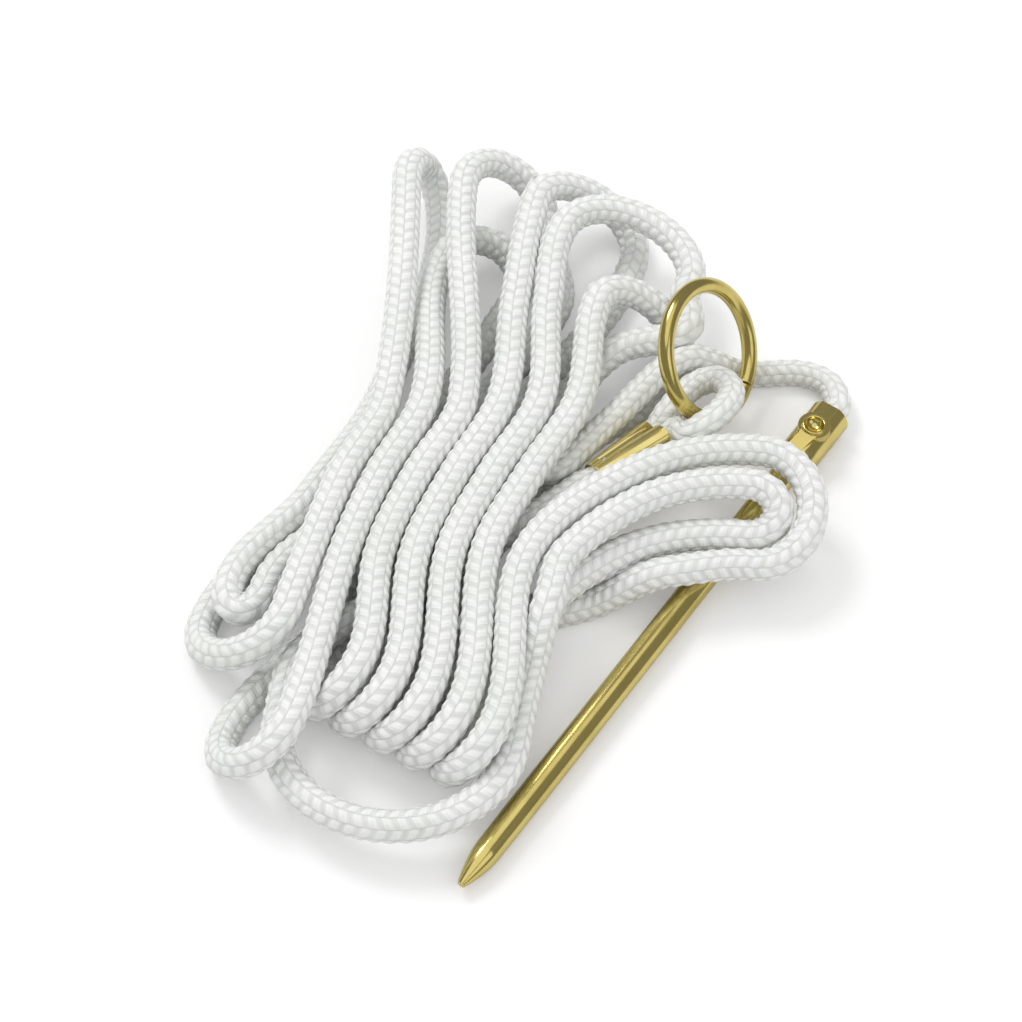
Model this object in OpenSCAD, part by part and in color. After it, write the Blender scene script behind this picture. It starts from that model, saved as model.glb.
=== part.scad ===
/* [Cord] */
// Diameter of the braided cord
rope_d = 4.5; // [4.4:0.05:4.6]
// Diameter of the cord where a metal sleeve grips it
rope_pinched_d = 3.8; // [3.4:0.1:4]
// Rise from one layer of the hank to the next
layer_rise = 5.5; // [5.3:0.1:6]

/* [Ring] */
// Outer diameter of the wire ring
ring_od = 25; // [23:0.5:26]
// Diameter of the ring's wire
ring_wire_d = 2.7; // [2:0.1:3]
// Width of the open butt joint in the wire
ring_seam_w = 0.25; // [0.1:0.05:0.6]

/* [Spike] */
// Length of the spike from its point to its mouth
spike_len = 107.5; // [100:0.5:115]
// Diameter of the straight shank
shank_d = 4.5; // [4:0.1:5]
// Length of the tapered point
point_len = 14; // [10:0.5:20]
// Diameter of the blunt end of the point
point_tip_d = 1.2; // [0.6:0.1:2]
// Length of the crimped rear end, with its shoulder
crimp_len = 16; // [15:0.5:20]
// Length of the shoulder between the shank and the crimp
shoulder_len = 7; // [4:0.5:8]
// Width of the crimped rear end
crimp_w = 6.9; // [6.6:0.1:8]
// Height of the crimped rear end, across its two flats
crimp_h = 6.2; // [6:0.1:6.4]
// Depth of the socket for the cord
socket_depth = 12; // [9:0.5:13]
// Diameter of the punched dimple
dimple_d = 2.4; // [1.6:0.1:3]
// Distance from the mouth to the dimple's centre
dimple_setback = 5.6; // [4:0.1:7]

/* [Ferrule] */
// Length of the crimp sleeve
ferrule_len = 13.5; // [12:0.5:16]
// Diameter of each of the sleeve's two lobes
lobe_d = 4.6; // [4.4:0.1:5]
// Distance between the lobes' centres at the front
lobe_gap_front = 4.2; // [4.1:0.1:4.6]
// Distance between the lobes' centres at the rear
lobe_gap_rear = 1.2; // [0.8:0.1:2]
// Depth of the blind sockets for the cord
grip_depth = 3; // [2:0.5:5]

/* [Hidden] */
$fn = 64;

// Allowance that lets a cut run past a face
overrun = 1;
// Room between the cord and the socket that holds it
socket_play = 0.05;
// Shift from the layout of the cord to the part's own frame
frame_shift = [-24.4, 18.5, 0];

// Cord sizes that follow the diameter
rope_r = rope_d / 2;
pinched_r = rope_pinched_d / 2;
// Height of the cord's centre on the floor, where a tenth of its diameter is cut flat
seat_z = rope_r - rope_d / 10;
// Heights of the layers
function level_z(level) = seat_z + level * layer_rise;

// Ring: the middle of its wire, its place and how it leans
ring_r = (ring_od - ring_wire_d) / 2;
ring_place = [33, 22.6, 14.1];
ring_lean = 56.4;
ring_heading = -27.8;
ring_seam_angle = 14;

// Spike: its point on the floor and its heading
spike_tip_place = [-7.6, -70.8];
spike_heading = 55.05;
// Where the crimp's flats begin, and the tilt that sets them and the front of the shank on the floor
flat_start = spike_len - crimp_len + shoulder_len * (crimp_h - shank_d) / (crimp_w - shank_d);
spike_tilt = atan((crimp_h - shank_d) / 2 / (flat_start - point_len));
spike_axis_z = shank_d / 2 * cos(spike_tilt) - point_len * sin(spike_tilt);
socket_d = rope_d + 2 * socket_play;
// Raised pad round the dimple
pad_h = 0.35;
pad_d = 4;
pad_tail_len = 5.2;
pad_tail_w = 1.2;
dimple_depth = 0.8;

// Ferrule: the middle of its rear face, its heading and its roll
ferrule_place = [14, 1.8, level_z(1)];
ferrule_heading = 40;
ferrule_roll = 35;
grip_d = rope_pinched_d + 2 * socket_play;
lobe_yaw = atan((lobe_gap_front - lobe_gap_rear) / 2 / ferrule_len);
groove_d = 1.2;
groove_len = 9;
groove_sink = 0.35;

// Plain maths
function smooth(t) = t * t * (3 - 2 * t);
function unit(v) = v / norm(v);
function xy(p) = [p.x, p.y];
function aim(a) = [cos(a), sin(a)];
function turned(v, a) = [v.x * cos(a) - v.y * sin(a), v.x * sin(a) + v.y * cos(a)];
function mix(a, b, t) = a + (b - a) * t;
function hermite(p, q, dp, dq, u) =
    (2 * u ^ 3 - 3 * u ^ 2 + 1) * p + (u ^ 3 - 2 * u ^ 2 + u) * dp
    + (3 * u ^ 2 - 2 * u ^ 3) * q + (u ^ 3 - u ^ 2) * dq;

// Route of the hank: every place is [x, y, level], level 0 on the floor and 2 on top
// Upper strands fan out in lanes, each lane one pitch from the next at four stations
upper_y = [34, 13.5, -1.5, -16.6];
upper_x = [-16.2, -20.8, -27.4, -32.2];
upper_pitch = [5.6, 6.4, 6.1, 5.65];
function upper(lane, first = 1) =
    [for (s = [first:3]) [upper_x[s] + lane * upper_pitch[s], upper_y[s], 2]];
// Lower strands do the same at two stations
lower_y = [-24, 10];
lower_x = [-48, -33];
lower_pitch = [5.8, 6.7];
function lower(lane, first = 0, last = 1) =
    [for (s = [first:last]) [lower_x[s] + lane * lower_pitch[s], lower_y[s], 0]];
// Small bends along the lower edge, as bends below are written
function edge_bend(j) = [-27.3 + 5.25 * j, -36.5 - 2.95 * j, 3.7, 6, -25, 2, 0];

// A bend is [x, y, half width, rise, lean, level in, level out]
// A row is [way up, top bend, way down, bottom bend], in the order in which the cord is laid
hank_rows = [
    [[[-33, -2, 1], [-22, 22, 0.3]], [-15.4, 61, 2.9, 9, 0, 0, 2], upper(0), [-42.5, -25.5, 7.5, 7.5, -15, 2, 0]],
    [lower(2, 1), [-5, 47, 6.5, 7, -28, 0, 1], upper(1), [-39.5, -46, 5.8, 7, -20, 2, 0]],
    [concat(lower(3), [[8, 42, 0]]), [-1, 60, 7.4, 9.5, -5, 0, 2], upper(2), edge_bend(0)],
    [lower(4), [13, 55, 9, 8, -15, 0, 2], upper(3, 0), edge_bend(1)],
    [concat(lower(5), [[9.5, 21, 0.4], [19, 29, 1], [29.8, 31.4, 1.3]]), [19.9, 46, 11.9, 9, -30, 1.3, 2], upper(4, 0), edge_bend(2)],
    [[[-12.8, -24, 0], [8.4, 9, 0]], [21.8, 32, 7.6, 7, -20, 0, 2], upper(5), edge_bend(3)],
    [[[-8.2, -28, 0], [12, -20, 0], [25.5, -17.4, 1.1]], [40, -6.5, 9.7, 9, -97, 1.1, 2],
        [[22, 0, 2], [2.8, -16.6, 2]], edge_bend(4)],
    [[[-1.5, -31, 1], [18, -13.5, 1.1]], [38.6, -7, 3.4, 4.8, -97, 1.1, 2],
        [[23, -6, 2], [9, -17, 2], [6, -26, 2], [2.8, -37, 1.05]], [-18, -46.8, 18.6, 16.4, -10, 1.05, 0.7]]
];
// The cord comes in from the lead, folds once on the left and leaves for the ferrule at the end
hank_start = [12, 8, 1];
hank_start_aim = -130;
hank_start_way = [[-4, 2.4, 1], [-24, -5, 1]];
hank_first_bend = [-42.3, -19.5, 3, 5, -15, 1, 1];
hank_end_way = [[-33, -32.5, 1], [-15, -19, 1]];
// Rings of the tube on a way down, a way up and a bend
rings_down = 8;
rings_up = 6;
rings_bend = 5;
hank_sides = 6;

// Points of a way through its stations, without the last one
function way(stations, aim_in, aim_out, n) =
    let (m = len(stations) - 1)
    let (aims = [for (i = [0:m]) i == 0 ? aim_in : i == m ? aim_out : unit(xy(stations[i + 1]) - xy(stations[i - 1]))])
    [for (k = [0:n - 1])
        let (i = floor(m * k / n), u = m * k / n - i, a = stations[i], b = stations[i + 1])
        let (span = norm(xy(b) - xy(a)))
        let (p = hermite(xy(a), xy(b), span * aims[i], span * aims[i + 1], u))
        [p.x, p.y, mix(a.z, b.z, smooth(u))]];
// Points of a bend from its right end over to its left end, without the last one
function bend(b, side, n) =
    [for (k = [0:n - 1])
        let (u = k / n, p = xy(b) + turned([b[2] * cos(180 * u), side * b[3] * sin(180 * u)], b[4]))
        [p.x, p.y, mix(b[5], b[6], smooth(u))]];
function bend_right(b) = concat(xy(b) + turned([b[2], 0], b[4]), [b[5]]);
function bend_left(b) = concat(xy(b) - turned([b[2], 0], b[4]), [b[6]]);
function bend_up(b) = turned([0, 1], b[4]);
// Points of one row, from the bend before it
function row(before, r) = concat(
    way(concat([bend_left(before)], r[0], [bend_right(r[1])]), bend_up(before), bend_up(r[1]), rings_up),
    bend(r[1], 1, rings_bend),
    way(concat([bend_left(r[1])], r[2], [bend_right(r[3])]), -bend_up(r[1]), -bend_up(r[3]), rings_down),
    bend(r[3], -1, rings_bend));
function flat(lists) = [for (list = lists) each list];
// Places along the ferrule's own axis, and the straight end of the hank in it
function on_ferrule(along) = ferrule_place + concat(along * aim(ferrule_heading), [0]);
hank_straight = concat(hank_start.x + rope_d * cos(hank_start_aim), hank_start.y + rope_d * sin(hank_start_aim), 1);
hank_last_bend = hank_rows[len(hank_rows) - 1][3];
hank_end_stub = concat(xy(on_ferrule(-rope_d)), [1]);
hank_levels = concat(
    [hank_start],
    way(concat([hank_straight], hank_start_way, [bend_right(hank_first_bend)]),
        aim(hank_start_aim), -bend_up(hank_first_bend), rings_down),
    bend(hank_first_bend, -1, rings_bend),
    flat([for (i = [0:len(hank_rows) - 1])
        row(i == 0 ? hank_first_bend : hank_rows[i - 1][3], hank_rows[i])]),
    way(concat([bend_left(hank_last_bend)], hank_end_way, [hank_end_stub]),
        bend_up(hank_last_bend), aim(ferrule_heading), rings_up),
    [hank_end_stub]);
hank_route = concat([for (p = hank_levels) [p.x, p.y, level_z(p.z)]],
    [on_ferrule(-rope_r), on_ferrule(-socket_play), on_ferrule(grip_depth)]);
hank_radii = [for (i = [0:len(hank_route) - 1]) i < len(hank_route) - 2 ? rope_r : pinched_r];

// Tube swept along a route, with a flat side down and nothing below the floor
function route_aim(route, i) = unit(route[min(i + 1, len(route) - 1)] - route[max(i - 1, 0)]);
function tube_ring(c, dir, r, sides) =
    let (side = unit(cross(dir, [0, 0, 1])), up = cross(side, dir))
    [for (k = [0:sides - 1])
        let (a = 270 + (k + 0.5) * 360 / sides, p = c + r * (cos(a) * side + sin(a) * up))
        [p.x, p.y, max(p.z, 0)]];
module tube(route, radii, sides) {
    n = len(route);
    points = flat([for (i = [0:n - 1]) tube_ring(route[i], route_aim(route, i), radii[i], sides)]);
    walls = [for (i = [0:n - 2], k = [0:sides - 1], half = [0, 1])
        let (a = i * sides + k, b = i * sides + (k + 1) % sides)
        half == 0 ? [a, b, b + sides] : [a, b + sides, a + sides]];
    last = (n - 1) * sides;
    front = [for (k = [1:sides - 2]) [0, k + 1, k]];
    back = [for (k = [1:sides - 2]) [last, last + k, last + k + 1]];
    polyhedron(points, concat(walls, front, back));
}

// Eye: the places of its two ends in the ferrule's sockets, in front of its middle by along
function on_lobe(side, along) =
    let (out = side * (lobe_gap_front / 2 + along * tan(lobe_yaw)), a = ferrule_heading, x = ferrule_len + along)
    let (y = out * cos(ferrule_roll))
    ferrule_place + [x * cos(a) - y * sin(a), x * sin(a) + y * cos(a), -out * sin(ferrule_roll)];
// The eye's free places run from the right leg over the ring's wire, round and back under it
eye_places = [[29.2, 8, 10.8], [33, 9.4, 12.8], [36, 13.6, 11.8], [36.8, 17.8, 10], [35, 21.4, 8.2],
    [31.6, 21.4, 7], [28.2, 18.2, 6.6], [25.8, 14.8, 6.4]];
eye_route = concat([on_lobe(-1, -grip_depth), on_lobe(-1, socket_play), on_lobe(-1, rope_r)],
    eye_places, [on_lobe(1, rope_r), on_lobe(1, socket_play), on_lobe(1, -grip_depth)]);
eye_radii = [for (i = [0:len(eye_route) - 1])
    let (from_end = min(i, len(eye_route) - 1 - i))
    from_end < 2 ? pinched_r : from_end == 2 ? (pinched_r + rope_r) / 2 : rope_r];

// Lead: straight from the hank, over the hank's last top bend, under the ring and into the spike
function on_spike(along) =
    [spike_tip_place.x + along * cos(spike_tilt) * cos(spike_heading),
     spike_tip_place.y + along * cos(spike_tilt) * sin(spike_heading), spike_axis_z + along * sin(spike_tilt)];
lead_start = [hank_start.x, hank_start.y, level_z(hank_start.z)];
lead_places = [[18.2, 15.2, 7.3], [22, 19.8, 7.3], [26, 24.2, 7.4], [30.4, 26.8, 7.2], [34.4, 27.4, 5.2], [38, 27.4, 2.8],
    [42, 27.4, 1.8], [45.4, 27.6, 1.8], [48.8, 27.7, 1.8], [52.2, 26.6, 2], [54.6, 24.3, 2.4], [55.4, 21.2, 2.9]];
lead_route = concat([lead_start, lead_start - rope_d * concat(aim(hank_start_aim), [0])], lead_places,
    [on_spike(spike_len + rope_r / 2), on_spike(spike_len), on_spike(spike_len - socket_depth)]);
lead_radii = [for (p = lead_route) rope_r];
free_sides = 10;

// Least distance between two straight pieces of a route
function clamp01(t) = min(max(t, 0), 1);
function piece_gap(a, b, c, d) =
    let (v = b - a, w = d - c, r = a - c, e = v * v, f = w * w, g = v * w, h = v * r, j = w * r, q = e * f - g * g)
    let (s0 = q > 0 ? clamp01((g * j - h * f) / q) : 0)
    let (t = clamp01((g * s0 + j) / f))
    let (s = clamp01((g * t - h) / e))
    norm(r + s * v - t * w);
function running(route) =
    [for (i = 0, sum = 0; i < len(route); sum = sum + (i < len(route) - 1 ? norm(route[i + 1] - route[i]) : 0),
        i = i + 1) sum];
function least_gap(route, apart) =
    let (at = running(route), n = len(route))
    min([for (i = [0:n - 2]) for (k = [i + 2:1:n - 2]) if (at[k] - at[i + 1] > apart)
        piece_gap(route[i], route[i + 1], route[k], route[k + 1])]) - rope_d;

// Places a module from its own axis: x runs from rear to front
module on_floor_plan(place, heading) { translate(place) rotate([0, 0, heading]) children(); }

module ring() {
    color("darkkhaki") translate(frame_shift + ring_place) rotate([0, ring_lean, ring_heading])
        difference() {
            rotate_extrude() translate([ring_r, 0]) circle(d = ring_wire_d);
            rotate([0, 0, ring_seam_angle])
                translate([ring_r - ring_wire_d, -ring_seam_w / 2, -ring_wire_d])
                    cube([2 * ring_wire_d, ring_seam_w, 2 * ring_wire_d]);
        }
}

// One lobe of the sleeve, as a cylinder whose axis meets the front at half the front gap
module lobe(side, d, from, to) {
    translate([ferrule_len, side * lobe_gap_front / 2, 0]) rotate([0, 0, side * lobe_yaw])
        translate([from, 0, 0]) rotate([0, 90, 0]) cylinder(d = d, h = to - from);
}
module ferrule() {
    color("darkkhaki") translate(frame_shift) on_floor_plan(ferrule_place, ferrule_heading)
        rotate([-ferrule_roll, 0, 0]) difference() {
            intersection() {
                union() for (side = [-1, 1]) lobe(side, lobe_d, -ferrule_len - overrun, overrun);
                translate([0, -lobe_gap_front - lobe_d, -lobe_d])
                    cube([ferrule_len, 2 * (lobe_gap_front + lobe_d), 2 * lobe_d]);
            }
            for (side = [-1, 1]) lobe(side, grip_d, -grip_depth, overrun);
            translate([-overrun, 0, 0]) rotate([0, 90, 0]) cylinder(d = grip_d, h = grip_depth + overrun);
            for (flip = [0, 180]) rotate([flip, 0, 0])
                translate([ferrule_len - groove_len, 0, lobe_d / 2 + groove_d / 2 - groove_sink])
                    rotate([0, 90, 0]) cylinder(d = groove_d, h = groove_len + overrun);
        }
}

// Outline of the raised pad: a round with a tail that points along the shank
module pad_outline() {
    circle(d = pad_d);
    polygon([[0, -pad_d / 2], [-pad_tail_len, -pad_tail_w / 2], [-pad_tail_len, pad_tail_w / 2], [0, pad_d / 2]]);
}
module spike() {
    color("goldenrod") translate(frame_shift) translate(on_spike(0)) rotate([0, 0, spike_heading])
        rotate([0, -spike_tilt, 0]) difference() {
            union() {
                intersection() {
                    rotate([90, 0, 90]) rotate_extrude() polygon([
                        [0, 0], [point_tip_d / 2, 0], [shank_d / 2, point_len],
                        [shank_d / 2, spike_len - crimp_len], [crimp_w / 2, spike_len - crimp_len + shoulder_len],
                        [crimp_w / 2, spike_len], [0, spike_len]]);
                    translate([-overrun, -crimp_w, -crimp_h / 2])
                        cube([spike_len + 2 * overrun, 2 * crimp_w, crimp_h]);
                }
                translate([spike_len - dimple_setback, 0, 0]) linear_extrude(crimp_h / 2 + pad_h) pad_outline();
            }
            translate([spike_len - socket_depth, 0, 0]) rotate([0, 90, 0])
                cylinder(d = socket_d, h = socket_depth + overrun);
            translate([spike_len - dimple_setback, 0, crimp_h / 2 + pad_h - dimple_depth])
                cylinder(d1 = dimple_d / 2, d2 = dimple_d, h = dimple_depth + pad_h);
        }
}
module rope_hank() {
    echo(least_gap_of_hank = least_gap(hank_route, 4 * rope_d));
    color("white") translate(frame_shift) tube(hank_route, hank_radii, hank_sides);
}
module rope_eye() {
    color("white") translate(frame_shift) tube(eye_route, eye_radii, free_sides);
}
module rope_lead() {
    color("white") translate(frame_shift) tube(lead_route, lead_radii, free_sides);
}

ring();
ferrule();
spike();
rope_hank();
rope_eye();
rope_lead();
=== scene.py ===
import logging
import math
from dataclasses import dataclass, replace
from enum import Enum
from typing import Any, Callable, Optional, Union

import bmesh
import bpy
import numpy as np
from mathutils import Matrix, Vector


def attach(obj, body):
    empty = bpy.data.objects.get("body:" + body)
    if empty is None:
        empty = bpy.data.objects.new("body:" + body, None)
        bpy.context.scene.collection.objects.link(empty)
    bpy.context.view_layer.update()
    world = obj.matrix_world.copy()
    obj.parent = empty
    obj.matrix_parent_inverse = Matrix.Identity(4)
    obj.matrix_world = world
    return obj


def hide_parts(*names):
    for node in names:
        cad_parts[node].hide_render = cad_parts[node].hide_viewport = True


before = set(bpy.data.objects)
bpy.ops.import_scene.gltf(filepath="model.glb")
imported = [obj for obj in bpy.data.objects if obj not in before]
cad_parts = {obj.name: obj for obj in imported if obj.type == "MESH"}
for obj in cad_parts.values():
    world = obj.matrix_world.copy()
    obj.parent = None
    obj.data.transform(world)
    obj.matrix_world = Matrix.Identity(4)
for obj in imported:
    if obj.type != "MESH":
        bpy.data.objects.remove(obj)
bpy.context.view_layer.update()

Colour = tuple[float, float, float, float]
Place = tuple[float, float, float]

LOG = logging.getLogger("fish_stringer")
MM = 0.001
# Added to a place in the layout to get it in the frame, in millimetres
FRAME_SHIFT = np.array([-24.4, 18.5, 0.0])
# The rigid body that holds all but the ring
CORD_BODY = "cord_and_spike"
# How far a stitch climbs across its column, as a share of its length
STITCH_SLANT = 0.35


def to_frame(points: np.ndarray) -> np.ndarray:
    """Turns layout millimetres into metres of the part's own frame.

    Args:
        points: Rows of x, y, z in the layout, in millimetres.

    Returns:
        The same rows in metres.
    """
    return (np.asarray(points, float) + FRAME_SHIFT) * MM


def unit(v: np.ndarray) -> np.ndarray:
    """Returns v with a length of one."""
    return v / np.linalg.norm(v)


def aim(degrees: float) -> np.ndarray:
    """Returns the plan direction of a heading."""
    return np.array([math.cos(math.radians(degrees)), math.sin(math.radians(degrees))])


def turned(v: np.ndarray, degrees: float) -> np.ndarray:
    """Returns a plan vector turned by an angle."""
    c, s = aim(degrees)
    return np.array([v[0] * c - v[1] * s, v[0] * s + v[1] * c])


def smooth(t: Any) -> Any:
    """Returns the smooth step of t from 0 to 1."""
    return t * t * (3 - 2 * t)


def distances(points: np.ndarray) -> np.ndarray:
    """Returns how far along a line each of its points lies."""
    return np.concatenate([[0.0], np.cumsum(np.linalg.norm(np.diff(points, axis=0), axis=1))])


def length_of(points: np.ndarray) -> float:
    """Returns the length of a line."""
    return float(np.linalg.norm(np.diff(points, axis=0), axis=1).sum())


# Cord route, as the part's own source lays it


@dataclass(frozen=True)
class Bend:
    """A half turn of the cord, seen from above, from its right end over to its left end."""

    x: float
    y: float
    half_width: float
    rise: float
    lean: float
    level_in: float
    level_out: float

    def middle(self) -> np.ndarray:
        """Returns the plan place of the bend's middle."""
        return np.array([self.x, self.y])

    def up(self) -> np.ndarray:
        """Returns the plan direction in which the bend opens or closes."""
        return turned(np.array([0.0, 1.0]), self.lean)

    def end(self, sign: int, level: float) -> np.ndarray:
        """Returns the bend's right end, for a sign of 1, or its left end, as x, y, level."""
        across = turned(np.array([self.half_width, 0.0]), self.lean)
        return np.append(self.middle() + sign * across, level)

    def right(self) -> np.ndarray:
        """Returns the bend's right end, as x, y, level."""
        return self.end(1, self.level_in)

    def left(self) -> np.ndarray:
        """Returns the bend's left end, as x, y, level."""
        return self.end(-1, self.level_out)

    def points(self, side: int, n: int) -> list[np.ndarray]:
        """Lays the bend.

        Args:
            side: 1 for a bend that goes over the top, -1 for one at the bottom.
            n: The number of points.

        Returns:
            Its places as x, y, level, without the last one.
        """
        places = []
        for k in range(n):
            u = k / n
            across = self.half_width * math.cos(math.pi * u)
            along = side * self.rise * math.sin(math.pi * u)
            p = self.middle() + turned(np.array([across, along]), self.lean)
            level = self.level_in + (self.level_out - self.level_in) * smooth(u)
            places.append(np.append(p, level))
        return places


Row = tuple[list[Place], Bend, list[Place], Bend]


def way(stations: list[np.ndarray], aim_in: np.ndarray, aim_out: np.ndarray,
        n: int) -> list[np.ndarray]:
    """Lays the cord smoothly through stations.

    Args:
        stations: Places as x, y, level.
        aim_in: The plan direction at the first station.
        aim_out: The plan direction at the last station.
        n: The number of points between two stations.

    Returns:
        Places as x, y, level, without the last station.
    """
    st = [np.asarray(s, float) for s in stations]
    inner = [unit(st[i + 1][:2] - st[i - 1][:2]) for i in range(1, len(st) - 1)]
    aims = [aim_in, *inner, aim_out]
    places = []
    for i in range(len(st) - 1):
        a, b = st[i], st[i + 1]
        span = np.linalg.norm(b[:2] - a[:2])
        for k in range(n):
            u = k / n
            p = (
                (2 * u**3 - 3 * u**2 + 1) * a[:2]
                + (u**3 - 2 * u**2 + u) * span * aims[i]
                + (3 * u**2 - 2 * u**3) * b[:2]
                + (u**3 - u**2) * span * aims[i + 1]
            )
            places.append(np.append(p, a[2] + (b[2] - a[2]) * smooth(u)))
    return places


def between(low: np.ndarray, high: np.ndarray, start: float, end: float, s: float) -> np.ndarray:
    """Returns the place at s on the straight line from low, at start, to high, at end."""
    return ((end - s) * low + (s - start) * high) / (end - start)


def curve_through(points: np.ndarray, n: int) -> np.ndarray:
    """Draws a smooth curve through points that lie unevenly apart.

    Args:
        points: The places that the curve passes.
        n: The number of places between two of them.

    Returns:
        The curve's places, the last point among them.
    """
    p = np.vstack([2 * points[0] - points[1], points, 2 * points[-1] - points[-2]])
    t = np.concatenate([[0.0], np.cumsum(np.sqrt(np.linalg.norm(np.diff(p, axis=0), axis=1)))])
    out = []
    for i in range(1, len(p) - 2):
        for k in range(n):
            s = t[i] + (t[i + 1] - t[i]) * k / n
            a = [between(p[j], p[j + 1], t[j], t[j + 1], s) for j in (i - 1, i, i + 1)]
            b = [between(a[j], a[j + 1], t[i + j - 1], t[i + j + 1], s) for j in (0, 1)]
            out.append(between(b[0], b[1], t[i], t[i + 1], s))
    return np.array(out + [points[-1]])


def evenly(points: np.ndarray, step: float) -> np.ndarray:
    """Spaces a line's points evenly.

    Args:
        points: The line.
        step: The distance between the new points, met as nearly as the length allows.

    Returns:
        The new points, from end to end.
    """
    at = distances(points)
    want = np.linspace(0.0, at[-1], max(2, round(at[-1] / step) + 1))
    return np.column_stack([np.interp(want, at, points[:, k]) for k in range(3)])


@dataclass
class Layout:
    """Where the cord, the ferrule and the spike lie, in layout millimetres."""

    rope_d: float = 4.5
    floor_press: float = 0.45
    layer_rise: float = 5.5
    spike_len: float = 107.5
    socket_depth: float = 12.0
    spike_tip: tuple[float, float] = (-7.6, -70.8)
    spike_heading: float = 55.05
    spike_tilt: float = 0.5906
    spike_axis_z: float = 2.1056
    ferrule_place: tuple[float, float] = (14.0, 1.8)
    ferrule_heading: float = 40.0
    ferrule_roll: float = 35.0
    ferrule_len: float = 13.5
    lobe_gap: float = 4.2
    lobe_yaw: float = 6.3402
    grip_depth: float = 3.0
    play: float = 0.05
    hank_start: Place = (12.0, 8.0, 1.0)
    hank_start_aim: float = -130.0

    def level_z(self, level: float) -> float:
        """Returns the height of the cord's centre in a layer of the hank."""
        return self.rope_d / 2 - self.floor_press + level * self.layer_rise

    def on_spike(self, along: float) -> np.ndarray:
        """Returns the place on the spike's axis at a distance from its point."""
        tilt = math.radians(self.spike_tilt)
        flat = np.array(self.spike_tip) + aim(self.spike_heading) * along * math.cos(tilt)
        return np.array([*flat, self.spike_axis_z + along * math.sin(tilt)])

    def on_ferrule(self, along: float) -> np.ndarray:
        """Returns the place on the ferrule's axis at a distance from its rear."""
        flat = np.array(self.ferrule_place) + along * aim(self.ferrule_heading)
        return np.array([*flat, self.level_z(1)])

    def on_lobe(self, side: int, along: float) -> np.ndarray:
        """Returns the place on a lobe's axis at a distance in front of the ferrule's mouth.

        Args:
            side: -1 for the right lobe, 1 for the left one.
            along: The distance in front of the mouth.

        Returns:
            The place in the layout.
        """
        out = side * (self.lobe_gap / 2 + along * math.tan(math.radians(self.lobe_yaw)))
        roll = math.radians(self.ferrule_roll)
        ahead = np.array([self.ferrule_len + along, out * math.cos(roll)])
        flat = np.array(self.ferrule_place) + turned(ahead, self.ferrule_heading)
        return np.array([*flat, self.level_z(1) - out * math.sin(roll)])


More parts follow.
